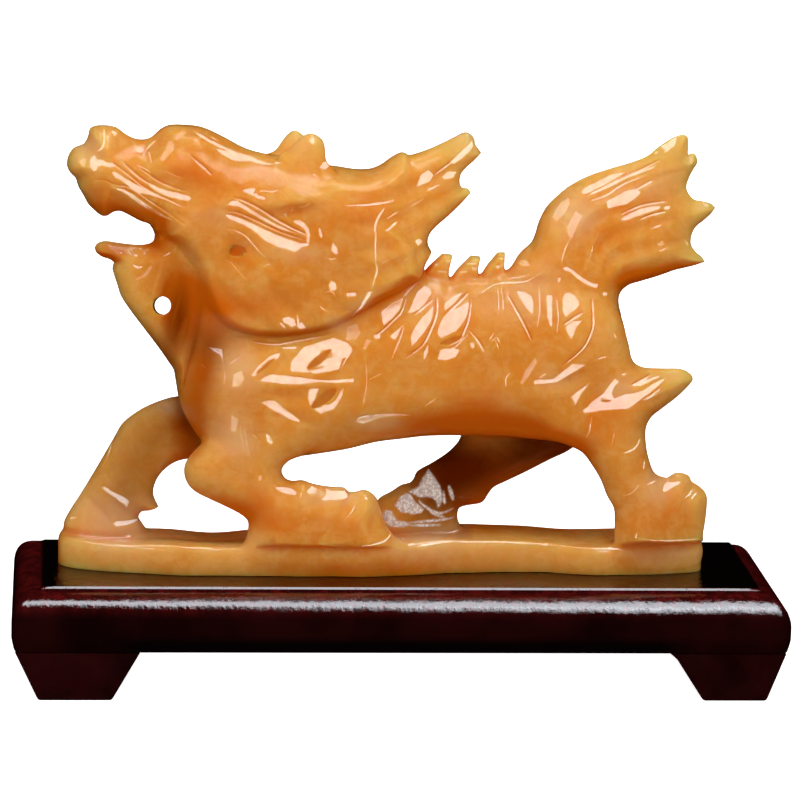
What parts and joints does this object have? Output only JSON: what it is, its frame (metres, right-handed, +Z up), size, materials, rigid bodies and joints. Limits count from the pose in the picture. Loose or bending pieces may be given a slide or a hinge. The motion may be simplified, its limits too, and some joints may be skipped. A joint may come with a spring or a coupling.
{
  "type": "qilin figure",
  "caption": "Walking qilin carved in honey-coloured translucent stone with its own base slab, on a low lacquered wooden stand with tapered feet.",
  "frame": {"origin": "middle of the footprint, at the undersides of the feet", "axes": "+X from the snout to the tail, +Z up, -Y towards the side that shows in the picture"},
  "size_m": [0.3, 0.095, 0.2161],
  "materials": {
    "stone": "polished translucent honey-orange jade-like stone",
    "lacquered_wood": "dark maroon gloss lacquer"
  },
  "bodies": {
    "root": {"qilin_carving": "stone", "plinth_board": "lacquered_wood", "foot_front_left": "lacquered_wood", "foot_front_right": "lacquered_wood", "foot_back_left": "lacquered_wood", "foot_back_right": "lacquered_wood"}
  },
  "joints": []
}
